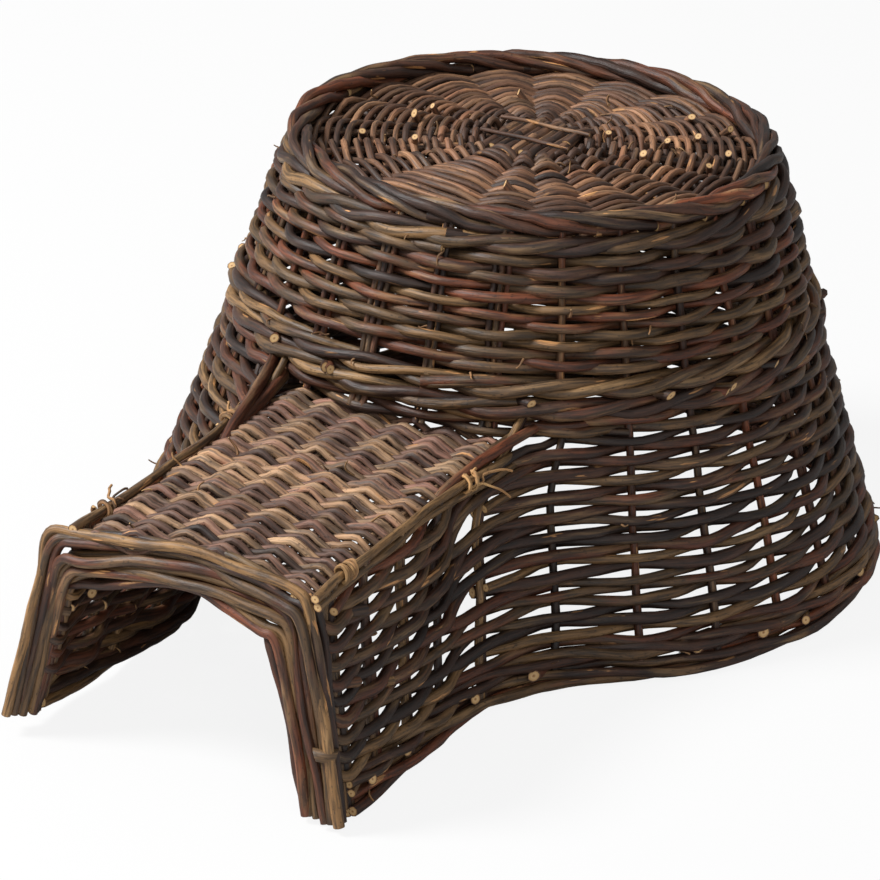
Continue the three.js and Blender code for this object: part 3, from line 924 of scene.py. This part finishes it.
def laid(x, y, z, across):
    """A point of the roof, measured from its middle. The lower five sticks lie across the others."""
    return Vector((y, x, z) if across else (x, y, z)) + Vector((0, dome_y, 0))


def add_stick(bundle, k, across):
    """One thick stick and the thin one beside it."""
    offset = (k - 2) * slath_pitch
    fan = spoke_angle * (k - 2)
    z = roof_middle + slath_radius * (-1 if across else 1)
    knots = []
    for reach in stick_reaches:
        radius = abs(reach)
        spoke = (radius * sin(fan), reach * cos(fan), roof_height(radius))
        knots.append(laid(*(spoke if radius > fan_from else (offset, reach, z)), across))
    line = bend(knots, 6)
    middle = len(line) // 2
    for part in (line[middle:], line[middle::-1]):
        add_rod(bundle, part, slath_radius, spoke_radius, 10, toss(0.1, 0.4))
    if k < 4:
        beside = [laid(offset + slath_pitch / 2, y, z, across) for y in filler_reaches]
        line = bend([stray(p, 0.4 * mm) for p in beside], 4)
        add_rod(bundle, line, 2.7 * mm, 2.4 * mm, 8, toss(0.1, 0.4))


for across in (0, 1):
    for k in range(5):
        bundle = new_bundle()
        add_stick(bundle, k, across)
        name = f"roof_stick_{across * 5 + k + 1}"
        nodes = [name.replace("roof", "slath")]
        finish_piece(name, bundle, roof_skins, nodes)

# %% The ties of the cross
for side, node in ((-1, "binding_rod_front"), (1, "binding_rod_back")):
    bundle = new_bundle()
    y = dome_y + side * 13 * mm
    z = roof_middle + 2 * slath_radius + 1.3 * mm
    ends = [Vector((x * mm, y, z - abs(x) * 0.03 * mm)) for x in (-27, -14, 0, 14, 27)]
    add_rod(bundle, bend([stray(p, 0.4 * mm) for p in ends], 4), 1.3 * mm, 1.1 * mm, 8, 0.2)
    finish_piece(node.replace("rod", "tie"), bundle, roof_skins, [node])

# %% [markdown]
# Thin rods are woven round over and under the spokes, packed so tight that each spoke carries a
# ridge of those that pass over it. The spokes are even in number, so a knot's side also counts
# its round. A few cut ends stand up.

# %% Roof weave
roof_rod_radius = 1.95 * mm
roof_start = 27 * mm
roof_pitch = 3.15 * mm
passes = int(spokes * (roof_rim + 3.5 * mm - roof_start) / roof_pitch)
knots = []
for k in range(passes):
    radius = roof_start + roof_pitch * k / spokes
    over = (k + k // spokes) % 2
    lift = 3.9 * mm if over else -3.9 * mm
    if radius < 45 * mm:
        lift += 1.5 * mm if over else -1 * mm
    point = on_circle(radius, spoke_angle * k, roof_height(radius) + lift)
    knots.append((stray(point, 0.45 * mm), not over))
print("the roof's rods pass", passes, "spokes")


def weave_roof(bundle, part):
    """Lays the rods of a part of the roof's spiral."""
    for rod in cut_rods(part, 16):
        thick = roof_rod_radius * toss(0.9, 1.12)
        add_rod(bundle, bend(rod, 5), thick * 1.05, thick * 0.85, 7)


inner_part = len(knots) // 3
inner_roof = new_bundle()
weave_roof(inner_roof, knots[:inner_part])
finish_piece("roof_rods_1", inner_roof, torn_roof_skins, ["roof_weaver_1"])

# %% The outer roof and its cut ends
roof_ends = [(96, 148), (89, 129), (62, 100), (111, 137), (105, 114), (98, 103), (70, -88), (67, -101)]
roof_ends += [(67, -54), (94, -66), (39, 130), (72, 122), (80, 20), (66, -150)]
outer_roof = new_bundle()
weave_roof(outer_roof, knots[inner_part:])
for radius, degrees in roof_ends:
    thick = toss(1.7, 2.4) * mm
    root = on_circle(radius * mm, radians(degrees), roof_height(radius * mm))
    turned = degrees + (5 if degrees < 0 else -5)
    end = on_circle((radius + 1) * mm, radians(turned), root.z + 8 * mm)
    add_stub(outer_roof, root, end, thick, slant=toss(0, 0.8))
for _ in range(18):
    radius = toss(35, 118) * mm
    angle = toss(0, 2 * pi)
    root = on_circle(radius, angle, roof_height(radius) + 5.5 * mm)
    add_tear(outer_roof, root, up, Vector((cos(angle), sin(angle), 0)))
finish_piece("roof_rods_2", outer_roof, torn_roof_skins, ["roof_weaver_2"])

# %% [markdown]
# ## The tunnel
# The skirt's stakes go on up beside the tunnel and carry an edge rod on each side. At the mouth
# four rods stand together as a post.

# %% Tunnel frames
def edge_at(index):
    """Where the edge rod lies on the head of a stake."""
    place = skirt_place(index, mouth_height)[0]
    z = roof_line(place.y) - 2.6 * mm
    return skirt_place(index, z, 3 * mm)[0]


def post_knots(index, head):
    """The knots of a stake beside the tunnel, from its foot to its head."""
    foot = skirt_place(index, skirt_foot(index) + rim_rope_height)[0]
    return [foot, skirt_place(index, 60 * mm)[0], skirt_place(index, 100 * mm)[0], head]


for side, node in ((-1, "tunnel_frame_left"), (1, "tunnel_frame_right")):
    bundle = new_bundle()
    edge = []
    for k in range(side_stakes):
        index = k if side < 0 else skirt_stakes - 1 - k
        head = edge_at(index)
        edge.append(head)
        if k > tunnel_stakes:
            head = skirt_place(index, waist_height + 4 * mm, -2 * mm)[0]
        for shift in side_by_side(chance.choice((1, 2)) if k else 4):
            beside = [p + Vector((0, shift, 0)) for p in post_knots(index, head)]
            line = bend([stray(p, 0.5 * mm) for p in beside], 5)
            add_rod(bundle, line, stake_radius * 1.1, stake_radius * 0.9, 6)
    front = edge[0].copy()
    front.y = dome_y - mouth_reach + 15 * mm
    for rise, out in ((0, 0), (-5 * mm, 1.2 * mm)):
        shift = Vector((side * out, 0, rise))
        line = bend([stray(p + shift, 0.8 * mm) for p in [front] + edge[:-1]], 5)
        add_rod(bundle, line, 2.6 * mm, 2.1 * mm, 8, toss(0.5, 0.9))
    finish_piece(node + "_rods", bundle, wall_skins, [node])

# %% [markdown]
# The tunnel's roof is a mat. Six long sticks run from the mouth to the dome, and short rods lie
# across, over and under them. Butt and tip change sides by chance, which keeps the mat level.

# %% Tunnel roof sticks
mat_half = roof_half_width - 6 * mm
mat_edge = mat_half - 6 * mm
mat_front = dome_y - mouth_reach + 15 * mm
mat_back = dome_y - waist_line + 13 * mm
mat_sticks = 6
mat_rod_radius = 2.1 * mm
mat_pitch = 3.75 * mm
mat_swing = 4.8 * mm


def mat_middle(x, y):
    """The height of the mat's sticks: the roof is highest along its middle, most so at the mouth."""
    crown = mouth_crown * (1 - (x / mat_half) ** 2) * (1 - toward_dome(y))
    return roof_line(y) - 6.5 * mm + crown


for k in range(mat_sticks):
    bundle = new_bundle()
    x = mix(-mat_edge, mat_edge, k / (mat_sticks - 1))
    ends = [mix(mat_front, mat_back, i / 4) for i in range(5)]
    line = bend([stray(Vector((x, y, mat_middle(x, y))), 0.4 * mm) for y in ends], 4)
    add_rod(bundle, line, 2.1 * mm, 1.9 * mm, 8)
    name = f"tunnel_stick_{k + 1}"
    finish_piece(name, bundle, (mat_bark, cut_wood), [f"tunnel_roof_stick_{k + 1}"])

# %% Tunnel roof mat
mat = new_bundle()
rows = int((mat_back - mat_front) / mat_pitch)
stick_apart = 2 * mat_edge / (mat_sticks - 1)
for row in range(rows):
    y = mat_front + (row + 0.5 + toss(-0.15, 0.15)) * mat_pitch
    knots = []
    for k in range(-1, 4 * mat_sticks - 2):
        x = k / 4 * stick_apart - mat_edge
        swing = abs((k / 4 + row) % 2 - 1) * 2 - 1
        knots.append(stray(Vector((x, y, mat_middle(x, y) + mat_swing * swing)), 0.55 * mm))
    for end, step in ((0, -1), (-1, 1)):
        x = step * (mat_half + toss(1, 4) * mm)
        knots[end] = Vector((x, y, mat_middle(x, y) + 1 * mm))
    if chance.random() < 0.5:
        knots.reverse()
    thick = mat_rod_radius * toss(0.82, 1.25)
    add_rod(mat, bend(knots, 2), thick * 1.08, thick * 0.85, slant=0.5)
for _ in range(10):
    x = toss(-1, 1) * mat_half
    y = toss(mat_front, mat_back)
    add_tear(mat, Vector((x, y, mat_middle(x, y) + 6 * mm)), up, Vector((1, 0, 0)))
finish_piece("tunnel_mat", mat, (mat_bark, cut_wood, bast), ["tunnel_roof_mat"])

# %% [markdown]
# ## The mouth
# Five bundles of bent rods make the arch. They all follow one line with a crowned top, two round
# corners and two splayed legs. A plain arc would be too round, as the real mouth is nearly
# square. Each bundle sways round the line, so that they twine.

# %% The line of the mouth
mouth_rods = 5
mouth_rod_radius = 2.75 * mm
arch_top = mouth_height - mouth_rod_radius
arch_foot = foot_half_width - mouth_rod_radius
splay = atan((foot_half_width - roof_half_width) / mouth_height)


def arch_knot(place, inset):
    """A point of the mouth's arch, from its right foot at -6 over the top to its left foot at 6."""
    corner = mouth_corner_radius
    step = abs(place)
    centre_z = arch_top - inset - corner
    run = corner + inset + centre_z * sin(splay)
    centre_x = arch_foot - run / cos(splay)
    if step >= 4:
        down = (step - 3.6) / 2.4
        from_z = centre_z + corner * sin(splay)
        foot_z = mouth_rod_radius + (left_foot_lift if place > 0 else 0)
        z = mix(from_z, foot_z, down)
        x = centre_x + corner * cos(splay) + (from_z - z) * tan(splay)
    elif step >= 2:
        angle = mix(pi / 2, splay, (step - 1.8) / 1.8)
        x = centre_x + corner * cos(angle)
        z = centre_z + corner * sin(angle)
    else:
        x = centre_x * step / 2
        z = arch_top - inset + mouth_crown * (1 - (step / 2) ** 2)
    if place > 0:
        x += 2 * left_splay * ease(step / 3) - 0.7 * left_splay * ease((step - 3) / 3)
    y = dome_y - mouth_reach + mouth_lean * z / waist_height + mouth_rod_radius
    return Vector((x if place < 0 else -x, y, z))


print("the mouth's legs lean out by", round(splay * 180 / pi, 1), "degrees")

# %% Mouth
arch_layers = ((mouth_rod_radius, 0, 0), (2.6 * mm, 0.5, 2.6 * mm), (2.4 * mm, 0.1, 5.4 * mm))


def arch_way(k, between, deep):
    """The knots of one bent rod: bundle k, set between it and the next, and deep behind the front."""
    knots = []
    pace = toss(0.6, 1.2)
    for place in range(-6, 7):
        swing = 2.4 * k + pace * place + 3 * between
        narrow = 1 - 0.5 * ease((place - 2) / 3)
        inset = 5.1 * mm * narrow * (k + between + 0.45 * sin(swing))
        point = arch_knot(place, max(inset, 0))
        point.y += deep + 1.7 * mm * (1 - cos(swing)) + 2.2 * mm * k * (1 - narrow) * 2
        knots.append(stray(point, 1.2 * mm))
    if chance.random() < 0.5:
        knots.reverse()
    return knots


for k in range(mouth_rods):
    bundle = new_bundle()
    for thick, between, deep in arch_layers:
        add_rod(bundle, bend(arch_way(k, between, deep), 6), thick * 1.1, thick * 0.9, 10)
    finish_piece(f"mouth_arch_{k + 1}", bundle, wall_skins, [f"mouth_rod_{k + 1}"])

# %% [markdown]
# Strips of bark are wound round the edge rods at four corners, and their ends curl loose.

# %% Lashings
def wind_strip(bundle, middle, along):
    """Winds one strip of bark round the edge rod and lets its end hang."""
    across = along.cross(up).normalized()
    knots = []
    slip = toss(-3, 3) * mm
    start = toss(0, 6)
    for i in range(16):
        angle = start + i * 0.75
        reach = 3.6 * mm + toss(0, 0.8) * mm
        point = middle + along * (slip + (i - 8) * 0.7 * mm)
        knots.append(point + (across * cos(angle) + up * sin(angle)) * reach)
    loose = knots[-1] - middle
    for i in range(1, 4):
        knots.append(knots[-1] + loose * 0.7 + along * toss(-2, 2) * mm - up * i * mm)
    add_rod(bundle, bend(knots, 3), 1.1 * mm, 0.7 * mm, 6, chance.random(), 0.2)


for side, word in ((-1, "left"), (1, "right")):
    for place, spot in ((0.5, "mouth"), (3.4, "dome")):
        bundle = new_bundle()
        near = int(place)
        ends = [edge_at(i if side < 0 else skirt_stakes - 1 - i) for i in (near, near + 1)]
        for _ in range(3):
            wind_strip(bundle, ends[0].lerp(ends[1], place - near), (ends[1] - ends[0]).normalized())
        name = f"lashing_strips_{word}_{spot}"
        finish_piece(name, bundle, (bast, cut_wood), [f"lashing_{word}_{spot}"])

# %% [markdown]
# The photo was taken on white, with a soft shadow. A plain white floor would look grey, so this
# one takes shadows as grey paper does and glows for the camera only.

# %% Floor
def seen_otherwise(tree, output, real, shown, share):
    """Gives the camera a share of one shader where all other light meets another."""
    tree.nodes.clear()
    start = Signal(tree)
    mixed = {0: start.node("LightPath") * share}
    mixed[1] = start.node(real[0], inputs={"Color": (*[real[1]] * 3, 1)})
    mixed[2] = start.node(shown, inputs={"Color": (1, 1, 1, 1), "Strength": 1.0})
    end = tree.nodes.new("ShaderNodeOutput" + output)
    start.node("MixShader", inputs=mixed).into(end, "Surface")
    return mixed[1].socket.node


def make_floor():
    """A wide floor that is white for the camera."""
    stage = bmesh.new()
    bmesh.ops.create_grid(stage, x_segments=1, y_segments=1, size=6)
    paper = new_material("floor_white")[0]
    seen_otherwise(paper.node_tree, "Material", ("BsdfDiffuse", 0.6), "Emission", 0.88)
    floor = new_object("floor", stage, [paper])
    return floor


print("the floor is", round(make_floor().dimensions.x), "m wide")

# %% [markdown]
# A large soft light from high on the left draws the rims of the rods, and a weak one from the
# front right lights the tunnel. The world adds a little and looks white to the camera.

# %% Light
lamp_aim = Vector((0, 0, 0.1))


def add_lamp(name, place, size, power):
    """A round soft lamp that shines at the house."""
    data = bpy.data.lights.new(name, "AREA")
    data.shape = "DISK"
    data.size = size
    data.energy = power
    lamp = bpy.data.objects.new(name, data)
    lamp.location = place
    lamp.rotation_euler = (lamp_aim - Vector(place)).to_track_quat("-Z", "Y").to_euler()
    bpy.context.scene.collection.objects.link(lamp)


add_lamp("window", (-1.7, -1.2, 2.1), size=0.9, power=130)
add_lamp("fill", (1.6, -2.2, 1.6), size=1.2, power=17)

world = bpy.data.worlds.new("studio")
bpy.context.scene.world = world
world.use_nodes = True
soft = seen_otherwise(world.node_tree, "World", ("Background", 1), "Background", 1.0)
soft.inputs["Strength"].default_value = 0.4
print("lamps:", [light.name for light in bpy.data.lights])

# %% [markdown]
# The photo was taken with a long lens from far off, and a little turned. These values come from
# fitting the photo's three ellipses, the two rims and the waist, and the tunnel's corners.

# %% Camera
azimuth = radians(26.77)
elevation = radians(23.72)
roll = radians(2.85)
distance = 2.35
aim = Vector((43.3, -99.0, 130)) * mm
photo_pixels = 880
focal_pixels = 4524
flat = cos(elevation)
back = Vector((sin(azimuth) * flat, -cos(azimuth) * flat, sin(elevation)))
right = up.cross(back).normalized()
high = back.cross(right)
turned_right = right * cos(roll) + high * sin(roll)
turned_high = high * cos(roll) - right * sin(roll)
camera_data = bpy.data.cameras.new("camera")
camera_data.sensor_width = 36
camera_data.lens = focal_pixels / photo_pixels * camera_data.sensor_width
camera = bpy.data.objects.new("camera", camera_data)
pose = Matrix((turned_right, turned_high, back)).transposed().to_4x4()
pose.translation = aim + back * distance
camera.matrix_world = pose
bpy.context.scene.collection.objects.link(camera)
bpy.context.scene.camera = camera
bpy.context.scene.view_settings.view_transform = "Standard"
print("camera at", [round(c, 2) for c in pose.translation], "with a lens of", round(camera_data.lens), "mm")
